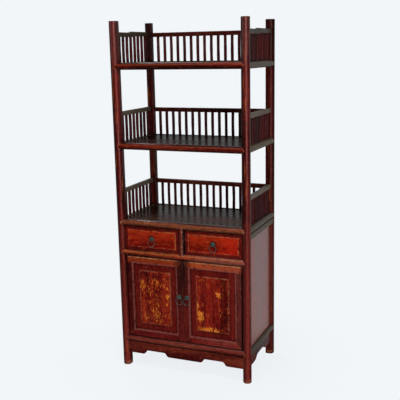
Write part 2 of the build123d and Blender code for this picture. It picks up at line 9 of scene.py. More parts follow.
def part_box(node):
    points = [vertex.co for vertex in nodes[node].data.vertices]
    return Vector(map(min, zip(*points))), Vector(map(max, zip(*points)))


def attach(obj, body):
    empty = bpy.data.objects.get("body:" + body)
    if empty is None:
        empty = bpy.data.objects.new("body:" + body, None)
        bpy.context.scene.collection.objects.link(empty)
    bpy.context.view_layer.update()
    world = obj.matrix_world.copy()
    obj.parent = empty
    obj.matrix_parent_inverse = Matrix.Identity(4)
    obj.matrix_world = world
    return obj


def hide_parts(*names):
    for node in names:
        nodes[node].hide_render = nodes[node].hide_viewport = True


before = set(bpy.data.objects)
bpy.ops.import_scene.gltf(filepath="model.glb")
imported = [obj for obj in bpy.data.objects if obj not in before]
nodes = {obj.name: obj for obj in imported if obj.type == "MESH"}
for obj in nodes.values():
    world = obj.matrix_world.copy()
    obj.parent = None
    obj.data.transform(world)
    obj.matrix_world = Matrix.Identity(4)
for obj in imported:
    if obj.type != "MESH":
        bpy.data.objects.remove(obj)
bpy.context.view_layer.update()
random.seed(7)


def colour(code):
    """sRGB hex to the linear colour that a socket takes."""
    parts = [int(code[i:i + 2], 16) / 255 for i in (0, 2, 4)]
    return tuple(c / 12.92 if c <= 0.04045 else ((c + 0.055) / 1.055) ** 2.4 for c in parts) + (1.0,)


def plug(tree, socket, value):
    """Gives a socket a number, a colour's hex, or a link from another node or its output."""
    if isinstance(value, bpy.types.Node):
        value = next(output for output in value.outputs if output.enabled)
    if isinstance(value, bpy.types.NodeSocket):
        tree.links.new(value, socket)
    else:
        socket.default_value = colour(value) if isinstance(value, str) else value


def add(tree, kind, settings=None, links=None):
    """A node with its settings and what its inputs get; a colour ramp's stops are (place, hex)."""
    node = tree.nodes.new("ShaderNode" + kind)
    for name, value in (settings or {}).items():
        if name == "stops":
            while len(node.color_ramp.elements) < len(value):
                node.color_ramp.elements.new(0.5)
            for element, (place, code) in zip(node.color_ramp.elements, value):
                element.position, element.color = place, colour(code)
        else:
            setattr(node, name, value)
    for name, value in (links or {}).items():
        same_name = [socket for socket in node.inputs if socket.enabled and socket.name == name]
        plug(tree, same_name[0] if same_name else node.inputs[name], value)
    return node


def blank(name):
    """A new material with its node tree and its shader."""
    material = bpy.data.materials.new(name)
    material.use_nodes = True
    return material, material.node_tree, material.node_tree.nodes["Principled BSDF"]


# ---------------------------------------------------------------- finishes
# limits on x, y and z are places in metres; shares and limits on noise lie between 0 and 1

GRAIN = 0.07                    # how dense the grain is along a board, against 1 across it


def drawn_out(axis, density):
    """Scale of a pattern drawn out along an axis: its density there, against 1 across it."""
    return tuple(density if name == axis else 1.0 for name in "XYZ")


def lay(tree, under, over, *masks, share=1.0):
    """Lays a share of one colour over another. A mask is (value, where none of it shows, where all does)."""
    for value, none, full in masks:
        mask = add(tree, "MapRange", {"interpolation_type": "SMOOTHSTEP"},
                   {"Value": value, "From Min": none, "From Max": full})
        share = add(tree, "Math", {"operation": "MULTIPLY"}, {0: share, 1: mask})
    return add(tree, "Mix", {"data_type": "RGBA"}, {"Factor": share, "A": under, "B": over})


def more_wear(tree, place, amount, spots):
    """Adds to an amount of wear round each spot, given by its centre, half size and strength.

    A spot fades out between 0.2 and 1.3 half sizes from its centre.
    """
    for centre, half, strength in spots:
        away = add(tree, "VectorMath", {"operation": "SUBTRACT"}, {0: place, 1: centre})
        away = add(tree, "VectorMath", {"operation": "DIVIDE"}, {0: away, 1: half})
        away = add(tree, "VectorMath", {"operation": "LENGTH"}, {0: away}).outputs["Value"]
        near = add(tree, "MapRange", {"interpolation_type": "SMOOTHSTEP"},
                   {"Value": away, "From Min": 1.3, "From Max": 0.2, "To Max": strength})
        amount = add(tree, "Math", {"operation": "ADD"}, {0: amount, 1: near})
    return amount


def lacquer(name, tones, grain, rough=0.36, shine=0.15, tint="FFFFFF", coat=0.25, worn=0.5, edge="8A4A38",
            recess_dirt_and_shade=0.9, stained=0.7, lit_side=None, wear=None, seed=0.0):
    """Old lacquer brushed on elm: deep and dark with a soft shine, thinner where hands rubbed it.

    tones are its colour in hollows, on the plain surface and where it is rubbed, the last also that of its
    painted highlight; edge is that of knocked edges, which also paint a highlight along arrises, and tint
    that of its shine. grain is the axis that its boards run along, and seed moves its patterns. worn is how
    much of it is rubbed, stained the share of small stains, and another share gives dirt and painted shade
    in recesses.
    The way towards the lamp, if given, paints a narrow highlight where a round faces it or straight away
    from it, and paints shade where it turns aside. The marks of single boards, with painted highlights and
    shade among them, are laid over all this.
    """
    material, tree, shader = blank(name)
    place = add(tree, "TexCoord").outputs["Object"]
    shifted = add(tree, "Mapping", links={"Vector": place, "Location": (seed, 0.7 * seed, 0.3 * seed)})
    run = add(tree, "Mapping", links={"Vector": shifted, "Scale": drawn_out(grain, GRAIN)})
    # rubbed patches are about 60 mm wide and far longer along the board
    rubbed = add(tree, "TexNoise", links={"Vector": run, "Scale": 16.0, "Detail": 5.0, "Roughness": 0.6})
    stops = [(0.38, tones[0]), (0.50, tones[1]), (0.74 - 0.2 * worn, tones[2])]
    base = add(tree, "ValToRGB", {"stops": stops}, {"Fac": rubbed})
    # pores of elm are 0.3 mm wide; drawn about 2 mm apart, as fine as the render shows
    pores = add(tree, "TexNoise", links={"Vector": run, "Scale": 420.0, "Detail": 2.0})
    base = lay(tree, base, "100303", (pores, 0.5, 0.34), share=0.4)
    if lit_side:
        looks = add(tree, "TexCoord").outputs["Normal"]
        facing_light = add(tree, "VectorMath", {"operation": "DOT_PRODUCT"}, {0: looks, 1: lit_side}).outputs["Value"]
        facing_light = add(tree, "Math", {"operation": "ABSOLUTE"}, {0: facing_light})
        # painted highlight where a round faces the lamp's way or straight away from it, painted shade where
        # it turns aside
        base = lay(tree, base, tones[2], (facing_light, 0.94, 0.995), share=0.6)
        base = lay(tree, base, "1A0303", (facing_light, 0.96, 0.5), share=0.75)
    # the marks of single boards, with painted highlights and shade among them
    base = wear(tree, place, base) if wear else base
    # a life of knocks and stains leaves no two hands' breadths alike: spots 5 to 15 mm across
    drawn = add(tree, "VectorMath", {"operation": "MULTIPLY"}, {0: shifted, 1: drawn_out(grain, 0.4)})
    spots = add(tree, "TexNoise", links={"Vector": drawn, "Scale": 95.0, "Detail": 5.0, "Roughness": 0.72})
    base = lay(tree, base, "140203", (spots, 0.50, 0.66), share=stained)
    base = lay(tree, base, edge, (spots, 0.44, 0.30), share=0.65 * stained)
    # here and there a nick some 3 mm long shows pale wood
    nicks = add(tree, "TexNoise", links={"Vector": shifted, "Scale": 170.0, "Detail": 1.0})
    base = lay(tree, base, "C08A6C", (nicks, 0.73, 0.78), share=stained)

    # dirt and painted shade darken recesses and gaps; edges are knocked through in places some 10 mm long
    open_air = add(tree, "AmbientOcclusion", {"samples": 6}, {"Distance": 0.022}).outputs["AO"]
    base = lay(tree, base, "060101", (open_air, 0.9, 0.42), share=recess_dirt_and_shade)
    # the pale knocked edges are also a painted highlight along the arrises
    eased = add(tree, "Bevel", {"samples": 4}, {"Radius": 0.003})
    surface = add(tree, "NewGeometry").outputs["Normal"]
    turn = add(tree, "VectorMath", {"operation": "DOT_PRODUCT"}, {0: eased, 1: surface}).outputs["Value"]
    knocks_and_edge_highlights = add(tree, "TexNoise", links={"Vector": shifted, "Scale": 90.0, "Detail": 4.0})
    base = lay(tree, base, edge, (turn, 0.995, 0.9), (open_air, 0.5, 0.8), (knocks_and_edge_highlights, 0.34, 0.56))
    plug(tree, shader.inputs["Base Color"], base)

    dulled = add(tree, "MapRange", links={"Value": rubbed, "From Min": 0.35, "From Max": 0.65,
                                          "To Min": rough - 0.06, "To Max": rough + 0.12})
    plug(tree, shader.inputs["Roughness"], dulled)
    plug(tree, shader.inputs["Specular IOR Level"], shine)
    plug(tree, shader.inputs["Specular Tint"], tint)
    plug(tree, shader.inputs["Coat Weight"], coat)
    plug(tree, shader.inputs["Coat Roughness"], 0.16)
    height = add(tree, "Mix", {"data_type": "FLOAT"}, {"Factor": 0.35, "A": rubbed, "B": pores})
    bump = add(tree, "Bump", links={"Height": height, "Strength": 0.25, "Distance": 0.001})
    plug(tree, shader.inputs["Normal"], bump)
    return material


def bare_wood(name, grain):
    """Fir that never was lacquered, browned by age: straight fine rings and no shine."""
    material, tree, shader = blank(name)
    place = add(tree, "TexCoord").outputs["Object"]
    run = add(tree, "Mapping", links={"Vector": place, "Scale": drawn_out(grain, GRAIN)})
    # growth rings about 5 mm apart
    rings = add(tree, "TexNoise", links={"Vector": run, "Scale": 190.0, "Detail": 3.0})
    stops = [(0.35, "40281A"), (0.5, "5C3E28"), (0.66, "775638")]
    plug(tree, shader.inputs["Base Color"], add(tree, "ValToRGB", {"stops": stops}, {"Fac": rings}))
    plug(tree, shader.inputs["Roughness"], 0.7)
    bump = add(tree, "Bump", links={"Height": rings, "Strength": 0.3, "Distance": 0.0006})
    plug(tree, shader.inputs["Normal"], bump)
    return material


def patinated(name, tones, metallic, rough):
    """Brass that was cast and filed, gone green and grey, with blooms some 4 mm wide."""
    material, tree, shader = blank(name)
    place = add(tree, "TexCoord").outputs["Object"]
    blooms = add(tree, "TexNoise", links={"Vector": place, "Scale": 240.0, "Detail": 4.0})
    stops = list(zip((0.35, 0.5, 0.68), tones))
    plug(tree, shader.inputs["Base Color"], add(tree, "ValToRGB", {"stops": stops}, {"Fac": blooms}))
    plug(tree, shader.inputs["Metallic"], metallic)
    plug(tree, shader.inputs["Roughness"], rough)
    bump = add(tree, "Bump", links={"Height": blooms, "Strength": 0.3, "Distance": 0.0003})
    plug(tree, shader.inputs["Normal"], bump)
    return material


# ---------------------------------------------------------------- marks of wear of single boards, and painted light

def inside(node, border_x, border_z):
    """The field inside a front's border, as (middle, half size) across and upright."""
    low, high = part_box(node)
    return [((low[i] + high[i]) / 2, (high[i] - low[i]) / 2 - border)
            for i, border in ((0, border_x), (2, border_z))]


DRAWER_BORDER = 0.016
PANEL_TONGUE = 0.008            # how far a door's panel reaches into its frame
PANEL_BORDER_X, PANEL_BORDER_Z = 0.030, 0.033
# the fields of the right-hand fronts; those on the left mirror them
DRAWER_FIELD = inside("drawer_right_front", DRAWER_BORDER, DRAWER_BORDER)
DOOR_OPENING = inside("door_right_panel", PANEL_TONGUE, PANEL_TONGUE)
DOOR_FIELD = inside("door_right_panel", PANEL_TONGUE + PANEL_BORDER_X, PANEL_TONGUE + PANEL_BORDER_Z)

FACE_Y = -0.2                   # where the faces of doors and drawers lie, to the millimetre
SPOT_DEPTH = 0.05               # half size in depth of a spot on them, which takes in all their relief
OUTSIDE_Y = (-0.186, -0.190)    # where their marks start and are full, so hardly any show inside
SIDE_GALLERY_X = (0.312, 0.318)     # where the marks of the galleries at the sides start and are full

# where hands rubbed the posts, at arm's height: (centre, half size, strength)
POST_SPOTS = [
    ((-0.340, -0.212, 1.370), (0.016, 0.016, 0.190), 0.07),
    ((-0.340, 0.170, 1.360), (0.016, 0.016, 0.130), 0.14),
    ((-0.340, 0.170, 0.990), (0.016, 0.016, 0.090), 0.14),
    ((0.330, -0.212, 1.420), (0.014, 0.014, 0.080), 0.07)]


def face_spot(x, z, half_x, half_z, strength):
    """A spot of wear on the face of a door or drawer."""
    return (x, FACE_Y, z), (half_x, SPOT_DEPTH, half_z), strength


def beyond_field(tree, x, z, field):
    """How far a point of a front lies outside its field, in metres; below zero on the field."""
    side = add(tree, "Math", {"operation": "ABSOLUTE"}, {0: x})
    beyond = []
    for value, (middle, half) in zip((side, z), field):
        away = add(tree, "Math", {"operation": "SUBTRACT"}, {0: value, 1: middle})
        away = add(tree, "Math", {"operation": "ABSOLUTE"}, {0: away})
        beyond.append(add(tree, "Math", {"operation": "SUBTRACT"}, {0: away, 1: half}))
    return add(tree, "Math", {"operation": "MAXIMUM"}, {0: beyond[0], 1: beyond[1]})


def post_wear_and_painted_light(tree, place, base):
    """Posts: upright streaks rubbed to orange wood at arm's height, feet scuffed bare at the floor.

    Beside the case the red is faded; the tops of the front ones are faded and paler with a painted sheen,
    and the tops of the back ones are black with painted shade.
    """
    # streaks are about 7 mm wide and 200 mm long
    stretch = add(tree, "Mapping", links={"Vector": place, "Scale": drawn_out("Z", 0.035)})
    streaks = add(tree, "TexNoise", links={"Vector": stretch, "Scale": 130.0, "Detail": 3.0})
    amount = more_wear(tree, place, streaks, POST_SPOTS)
    base = lay(tree, base, "9A4A12", (amount, 0.62, 0.72), share=0.85)
    _, y, z = add(tree, "SeparateXYZ", links={"Vector": place}).outputs
    base = lay(tree, base, "98382C", (z, 0.86, 0.72), share=0.15)
    # faded lacquer and a painted sheen at the tops of the front posts
    base = lay(tree, base, "6E443E", (z, 1.50, 1.62), (y, 0.0, -0.1), share=0.2)
    # painted shade: the tops of the back posts darkened to black
    base = lay(tree, base, "120202", (z, 1.50, 1.60), (y, 0.0, 0.1), share=0.7)
    scuffs = add(tree, "TexNoise", links={"Vector": place, "Scale": 110.0, "Detail": 4.0})
    return lay(tree, base, "B0644A", (z, 0.030, 0.004), (scuffs, 0.42, 0.58), share=0.9)


def gallery_wear(tree, place, base):
    """Gallery rails: those at the sides have gone olive brown, and the lower ones of them paler."""
    x, _, z = add(tree, "SeparateXYZ", links={"Vector": place}).outputs
    side = add(tree, "Math", {"operation": "ABSOLUTE"}, {0: x})
    base = lay(tree, base, "2E2614", (side, *SIDE_GALLERY_X), share=0.9)
    return lay(tree, base, "6A5A48", (side, *SIDE_GALLERY_X), (z, 1.50, 1.40), share=0.6)


def drawer_wear_and_highlight(tree, place, base):
    """Drawer fronts: an orange-red glow along the top, stains and scratches, and grime at the pull.

    Round the field runs a dark groove with a painted highlight along the field's edge.
    """
    x, y, z = add(tree, "SeparateXYZ", links={"Vector": place}).outputs
    out, clean = beyond_field(tree, x, z, DRAWER_FIELD), base
    ragged = add(tree, "TexNoise", links={"Vector": place, "Scale": 70.0, "Detail": 4.0})
    base = lay(tree, base, "982604", (z, 0.650, 0.735), (out, 0.002, -0.002), share=0.8)
    base = lay(tree, base, "B41404", (x, 0.17, 0.25), (out, 0.0, -0.006), share=0.5)
    # cloudy stains and scratches run along the board, some 8 mm high
    stretch = add(tree, "Mapping", links={"Vector": place, "Scale": drawn_out("X", 0.22)})
    stains = add(tree, "TexNoise", links={
        "Vector": stretch, "Scale": 120.0, "Detail": 5.0, "Roughness": 0.7})
    base = lay(tree, base, "3A0802", (stains, 0.52, 0.66), share=0.6)
    base = lay(tree, base, "B04A10", (stains, 0.46, 0.34), (out, 0.002, -0.004), share=0.45)
    middle_x = DRAWER_FIELD[0][0]
    pulls = [face_spot(side * middle_x, 0.695, 0.026, 0.022, strength=1.0) for side in (-1, 1)]
    grime = more_wear(tree, place, 0.0, pulls)
    base = lay(tree, base, "220502", (grime, 0.0, 1.0), share=0.65)
    base = lay(tree, base, "4C0809", (out, 0.0, 0.004), share=0.75)
    # painted highlight along the edge of the raised field
    rim = (out, -0.005, -0.001), (out, 0.004, 0.0)
    base = lay(tree, base, "B4623C", *rim, (ragged, 0.42, 0.6), share=0.85)
    return lay(tree, clean, base, (y, *OUTSIDE_Y))


def divider_wear_and_shading(tree, place, base):
    """Drawer divider: a painted highlight down its middle, chipped to pale ground, painted shade on its
    sides.
    """
    across = add(tree, "SeparateXYZ", links={"Vector": place}).outputs["X"]
    side = add(tree, "Math", {"operation": "ABSOLUTE"}, {0: across})
    # painted shade on the divider's rounded sides
    base = lay(tree, base, "140202", (side, 0.004, 0.013), share=0.95)
    # the chips are some 4 mm long
    chips_and_highlight = add(tree, "TexNoise", links={"Vector": place, "Scale": 150.0, "Detail": 2.0})
    # a painted highlight along the middle, broken into chips of pale ground
    line = (across, 0.001, 0.004), (across, 0.011, 0.007)
    return lay(tree, base, "B47C64", *line, (chips_and_highlight, 0.50, 0.60), share=0.7)


def drawer_rail_wear_and_highlight(tree, place, base):
    """Drawer rail: a painted highlight along its upper round, and milky lacquer to the right."""
    x, _, z = add(tree, "SeparateXYZ", links={"Vector": place}).outputs
    ragged = add(tree, "TexNoise", links={"Vector": place, "Scale": 60.0, "Detail": 4.0})
    base = lay(tree, base, "6A3A36", (x, -0.02, 0.16), share=0.6)
    # painted highlight along the rail's upper round
    line = (z, 0.617, 0.622), (z, 0.630, 0.626)
    return lay(tree, base, "AC6034", *line, (ragged, 0.25, 0.6), share=0.4)


def door_wear_and_highlights(tree, place, base):
    """Door frames: rails browned at the top with a painted highlight on their top edge, a painted highlight
    on the bead, grease beside the pulls.

    The lacquer of the right-hand door has gone milky.
    """
    x, y, z = add(tree, "SeparateXYZ", links={"Vector": place}).outputs
    side = add(tree, "Math", {"operation": "ABSOLUTE"}, {0: x})
    out, clean = beyond_field(tree, x, z, DOOR_OPENING), base
    ragged = add(tree, "TexNoise", links={"Vector": place, "Scale": 60.0, "Detail": 4.0})
    base = lay(tree, base, "8A3006", (z, 0.552, 0.576), share=0.85)
    base = lay(tree, base, "B0481C", (z, 0.554, 0.574), (x, -0.05, 0.10), share=0.7)
    base = lay(tree, base, "703832", (x, 0.02, 0.20), share=0.32)
    # painted highlight along the top edge of the doors
    base = lay(tree, base, "C88C62", (z, 0.5860, 0.5900), (ragged, 0.3, 0.6), share=0.65)
    base = lay(tree, base, "300608", (side, 0.055, 0.035), share=0.45)
    base = lay(tree, base, "180303", (side, 0.044, 0.006), (z, 0.28, 0.52), share=0.9)
    # painted highlight along the bead round the opening
    rim = (out, -0.003, 0.001), (out, 0.012, 0.007)
    base = lay(tree, base, "84443C", *rim, (ragged, 0.2, 0.6), share=0.75)
    return lay(tree, clean, base, (y, *OUTSIDE_Y))


def panel_wear_and_highlight(spots, top_z, strength, ground, burnt, seed):
    """A door's panel: gold-brown wood bared in upright flakes, thickly on each spot and below top_z,
    with a painted highlight round the field's edge.

    strength is how much more is bared below top_z, ground the colour round the flakes, burnt the share
    of dark lacquer between them, and seed moves them.
    """
    def wear(tree, place, base):
        x, y, z = add(tree, "SeparateXYZ", links={"Vector": place}).outputs
        out, clean = beyond_field(tree, x, z, DOOR_FIELD), base
        # flakes are about 2 mm wide and 7 mm tall
        stretch = add(tree, "Mapping", links={
            "Vector": place, "Location": (seed, 0.0, seed), "Scale": drawn_out("Z", 0.3)})
        flakes = add(tree, "TexNoise", links={
            "Vector": stretch, "Scale": 210.0, "Detail": 4.0, "Roughness": 0.62, "Distortion": 0.4})
        low = add(tree, "MapRange", links={
            "Value": z, "From Min": top_z + 0.03, "From Max": top_z, "To Max": strength})
        # the flaking comes and goes in clouds some 30 mm wide
        clouds = add(tree, "TexNoise", links={"Vector": place, "Scale": 34.0, "Detail": 2.0})
        clouds = add(tree, "MapRange", links={
            "Value": clouds, "From Min": 0.3, "From Max": 0.7, "To Min": -0.07, "To Max": 0.07})
        amount = add(tree, "Math", {"operation": "ADD"}, {0: flakes, 1: low})
        amount = add(tree, "Math", {"operation": "ADD"}, {0: amount, 1: clouds})
        amount = more_wear(tree, place, amount, spots)
        base = lay(tree, base, "560C08", (out, 0.0, 0.004), share=0.75)
        base = lay(tree, base, ground, (amount, 0.50, 0.66), (out, 0.0, -0.006), share=0.6)
        base = lay(tree, base, "2A0502", (amount, 0.50, 0.43), (out, 0.0, -0.006), share=burnt)
        base = lay(tree, base, "D47A24", (amount, 0.65, 0.69), (out, 0.0, -0.004), share=0.9)
        ragged = add(tree, "TexNoise", links={"Vector": place, "Scale": 70.0, "Detail": 4.0})
        # painted highlight along the edge of the field
        rim = (out, -0.0075, -0.002), (out, 0.003, 0.0)
        base = lay(tree, base, "96563A", *rim, (ragged, 0.38, 0.6), share=0.9)
        return lay(tree, clean, base, (y, *OUTSIDE_Y))
    return wear


LEFT_PANEL_WEAR_AND_HIGHLIGHT = panel_wear_and_highlight(
    [face_spot(-0.225, 0.453, 0.020, 0.035, 0.08), face_spot(-0.160, 0.468, 0.030, 0.030, 0.08),
     face_spot(-0.088, 0.405, 0.016, 0.060, 0.08), face_spot(-0.155, 0.310, 0.085, 0.060, 0.05)],
    top_z=0.462, strength=0.045, ground="8A2806", burnt=0.75, seed=3.1)
RIGHT_PANEL_WEAR_AND_HIGHLIGHT = panel_wear_and_highlight(
    [face_spot(0.187, 0.438, 0.018, 0.018, 0.24), face_spot(0.074, 0.372, 0.014, 0.030, 0.26),
     face_spot(0.092, 0.315, 0.024, 0.036, 0.25), face_spot(0.150, 0.252, 0.075, 0.018, 0.24)],
    top_z=0.455, strength=-0.01, ground="8A2E0A", burnt=0.3, seed=8.4)


# ---------------------------------------------------------------- the CAD nodes in their finishes

def ending(*ends):
    """CAD nodes whose names end so."""
    return [name for name in nodes if name.endswith(ends)]


def dress(material, *names):
    """Gives CAD nodes their material."""
    for name in names:
        data = nodes[name].data
        data.materials.clear()
        data.materials.append(material)


# the way towards the lamp for each kind of round, which sets its painted highlight and shade
POST_LIT_SIDE = (0.47, -0.88, 0.0)
RAIL_LIT_SIDE = (0.0, -0.95, 0.3)
SHELF_LIT_SIDE = (0.0, -0.9, 0.43)

dress(lacquer("dark red lacquered posts", ("240203", "480507", "741A10"), "Z", worn=0.6, shine=0.32,
              tint="FFE0DA", coat=0.0, edge="862C16", recess_dirt_and_shade=0.5, stained=0.6, lit_side=POST_LIT_SIDE,
              wear=post_wear_and_painted_light),
      "post_front_left", "post_front_right")
# the back posts get a darker copy of the posts' finish: painted shade
dress(lacquer("shade-darkened lacquered back posts", ("1E0303", "420506", "60180A"), "Z", worn=0.6, rough=0.40,
              shine=0.11, coat=0.0, edge="7A4028", lit_side=POST_LIT_SIDE, wear=post_wear_and_painted_light),
      "post_back_left", "post_back_right")

dress(lacquer("red-brown lacquered front rails", ("340502", "5C0B03", "782C0C"), "X", worn=0.6, rough=0.42,
              shine=0.13, coat=0.0, lit_side=SHELF_LIT_SIDE), *ending("shelf_rail_front"))
dress(lacquer("dull red lacquered bottom rail", ("2C0404", "560E0A", "7C3222"), "X", rough=0.32,
              shine=0.25, coat=0.0, lit_side=RAIL_LIT_SIDE), "bottom_rail_front")
dress(lacquer("tan-brown lacquered case rail", ("320C05", "581D0A", "7C3E20"), "X", worn=0.6, rough=0.3,
              shine=0.3, coat=0.0, edge="A8785A", lit_side=RAIL_LIT_SIDE), "case_top_rail_front")
dress(lacquer("browned lacquered drawer rail", ("4A0E02", "8C260A", "A44C20"), "X", worn=0.6, rough=0.3,
              shine=0.3, coat=0.0, recess_dirt_and_shade=0.6, lit_side=RAIL_LIT_SIDE, wear=drawer_rail_wear_and_highlight), "drawer_rail_front")
dress(lacquer("dull lacquered back rails", ("1C0403", "2E0805", "4A1A10"), "X", rough=0.5, shine=0.1,
              coat=0.0), *ending("rail_back"))
dress(lacquer("dull red-brown lacquered side rails", ("22190A", "3C2C12", "544224"), "Y", worn=0.3,
              shine=0.4, tint="FFECC0", coat=0.0), *ending("_rails_side"))
dress(lacquer("dull red lacquered gallery rails", ("260806", "44100C", "5E2A1E"), "X", worn=0.3,
              stained=0.5, tint="FFF0CC", coat=0.06, wear=gallery_wear), *ending("gallery_rails"))

# the higher a board, the duller the dust of the room has made it
for board, shine, tone in (("top_shelf_board", 0.0, "2A180D"), ("middle_shelf_board", 0.012, "140B06"),
                           ("case_top_board", 0.055, "2A180D")):
    dress(lacquer(f"black-brown lacquered {board}".replace("_", " "), ("180C06", tone, "462818"), "X",
                  rough=0.24, shine=shine, tint="FFE8C4", coat=0.0, edge="3A2A20"), board)
dress(lacquer("dull red lacquered case panels", ("6C2216", "862C1C", "96382A"), "Z", worn=0.4, rough=0.26,
              shine=1.0, tint="FFDCD2", coat=0.15, stained=0.3),
      "side_panel_left", "side_panel_right", "back_panel_upper", "back_panel_lower")
dress(lacquer("red lacquered aprons", ("280303", "500805", "742612"), "X", coat=0.1),
      "front_apron", "side_apron_left", "side_apron_right")

dress(lacquer("orange-red lacquered drawer fronts", ("620500", "8A0800", "A41402"), "X", edge="A05028",
              shine=0.1, coat=0.03, recess_dirt_and_shade=0.7, wear=drawer_wear_and_highlight), "drawer_left_front", "drawer_right_front")
dress(lacquer("red lacquered drawer divider", ("1E0202", "440A06", "621C10"), "Z", coat=0.0, edge="96523E",
              wear=divider_wear_and_shading), "drawer_divider")
for part, grain in (("stile", "Z"), ("rails", "X")):
    dress(lacquer(f"dark red lacquered door {part}", ("360406", "5A0606", "7C1608"), grain, shine=0.12,
                  wear=door_wear_and_highlights), *[name for name in ending(part) if name.startswith("door_")])
dress(lacquer("flaking lacquered left door panel", ("4C0401", "700801", "901C04"), "Z", seed=1.3, shine=0.1,
              coat=0.08, wear=LEFT_PANEL_WEAR_AND_HIGHLIGHT), "door_left_panel")
dress(lacquer("worn lacquered right door panel", ("400403", "700803", "921A06"), "Z", seed=4.2, shine=0.1,
              coat=0.08, wear=RIGHT_PANEL_WEAR_AND_HIGHLIGHT), "door_right_panel")

dress(bare_wood("aged fir, front to back", "Y"), "shelf_battens", "drawer_runners", *ending("_box"))
dress(bare_wood("aged fir, side to side", "X"), "cabinet_floor_board", *ending("_bottom"))

# what the pieces below are made of
spindle_finish = lacquer("dark lacquered spindles", ("200507", "400A0C", "521614"), "Z", worn=0.3, rough=0.4,
                         shine=0.1, coat=0.0, stained=0.2, lit_side=POST_LIT_SIDE)
plate_metal = patinated("green patinated brass plates", ("101E19", "213E35", "4A685C"), 0.2, 0.5)
ring_metal = patinated("dull grey brass rings", ("28211F", "50443F", "968A85"), 0.2, 0.35)


# ---------------------------------------------------------------- gallery spindles

def piece(name, work, material, body, replaced):
    """Makes a finished bmesh a piece that rides on a body in place of a CAD node."""
    bmesh.ops.recalc_face_normals(work, faces=work.faces)
    data = bpy.data.meshes.new(name)
    work.to_mesh(data)
    work.free()
    data.materials.append(material)
    data.shade_smooth()
    data.set_sharp_from_angle(angle=math.radians(40))
    thing = bpy.data.objects.new(name, data)
    bpy.context.scene.collection.objects.link(thing)
    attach(thing, body)
    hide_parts(replaced)


def loose_boxes(data):
    """Lowest and highest corner of each loose solid of a CAD node, in order of place."""
    work = bmesh.new()
    work.from_mesh(data)
    bmesh.ops.remove_doubles(work, verts=work.verts, dist=1e-6)
    left, boxes = set(work.verts), []
    while left:
        group, rim = [], [left.pop()]
        while rim:
            vert = rim.pop()
            group.append(vert.co)
            near = {edge.other_vert(vert) for edge in vert.link_edges} & left
            left -= near
            rim.extend(near)
        boxes.append([Vector([pick(co[i] for co in group) for i in range(3)]) for pick in (min, max)])
    work.free()
    return sorted(boxes, key=lambda box: tuple(round(c, 4) for c in box[0]))


def lengthen(work, face, bottom=False):
    """Extrudes a face. The face that it leaves behind stays where it is the bottom of the piece."""
    grown = bmesh.ops.extrude_face_region(work, geom=[face], use_keep_orig=True)
    if not bottom:
        bmesh.ops.delete(work, geom=[face], context="FACES_ONLY")
    return next(item for item in grown["geom"] if isinstance(item, bmesh.types.BMFace))


DOWEL_LENGTH = 0.008
DOWEL_SHARE = 0.526             # a dowel's radius as a share of the stick's
STICK_SIDES = 10
STICK_BEND = 0.0009             # how far its middle may stray from the straight, across and in depth
STICK_UNEVEN = (0.94, 1.05)     # thinnest and thickest that the knife left it, as a share of its radius


def spindle(work, low, high):
    """A stick whittled round by hand, a little uneven and never quite straight, on its two dowels."""
    middle = (low + high) / 2
    radius = (high.x - low.x) / 2
    foot, head = low.z + DOWEL_LENGTH, high.z - DOWEL_LENGTH
    bend = Vector((random.uniform(-1, 1), random.uniform(-1, 1), 0)) * STICK_BEND
    # (height, share of the radius, share of the bend)
    steps = [(foot, DOWEL_SHARE, 0), (foot, 1, 0)]
    for share in (0.25, 0.5, 0.75):
        z = foot + share * (head - foot)
        steps.append((z, random.uniform(*STICK_UNEVEN), math.sin(math.pi * share)))
    steps += [(head, 1, 0), (head, DOWEL_SHARE, 0), (high.z, DOWEL_SHARE, 0)]

    start = Matrix.Translation((middle.x, middle.y, low.z))
    made = bmesh.ops.create_circle(work, cap_ends=True, segments=STICK_SIDES, radius=DOWEL_SHARE * radius,
                                   matrix=start)
    top = made["verts"][0].link_faces[0]
    for i, (z, share, bent) in enumerate(steps):
        top = lengthen(work, top, bottom=(i == 0))
        centre = Vector((middle.x, middle.y, z)) + bent * bend
        old = top.calc_center_median()
        size = (top.verts[0].co - old).length
        for vert in top.verts:
            vert.co = centre + (vert.co - old) * (share * radius / size)


for level in ("top", "middle", "lower"):
    sticks = bmesh.new()
    for low, high in loose_boxes(nodes[f"{level}_gallery_spindles"].data):
        spindle(sticks, low, high)
    piece(f"{level}_gallery_sticks", sticks, spindle_finish, "case",
          f"{level}_gallery_spindles")


# ---------------------------------------------------------------- ring pulls

WIRE_SIDES = 12
UPRIGHT = Matrix.Rotation(math.radians(90), 4, "X")     # turns a flat circle to face the front

PLATE_SEGMENTS, LOBE_SEGMENTS = 48, 6   # so its edge has eight lobes
LOBE_DEPTH = 0.035              # half the depth of the bays between lobes, as a share of the radius
# the plate's profile from its edge inwards: (share of the radius, height)
PLATE_PROFILE = ((1.0, 0.0009), (0.95, 0.0013), (0.83, 0.0013), (0.76, 0.0023), (0.58, 0.0032),
                 (0.36, 0.0038), (0.18, 0.0041))

STAPLE_RADIUS, STAPLE_WIRE, STAPLE_FRONT = 0.0042, 0.0014, 0.0042
STAPLE_BELOW_PLATE = 0.003
STAPLE_STEPS = 10

RING_STEPS = 44
RING_WIRE_SHARE = 0.68          # its wire's thickness, as a share of the CAD ring's
RING_WORN_SHARE = 0.08          # how much less of it is left at the top


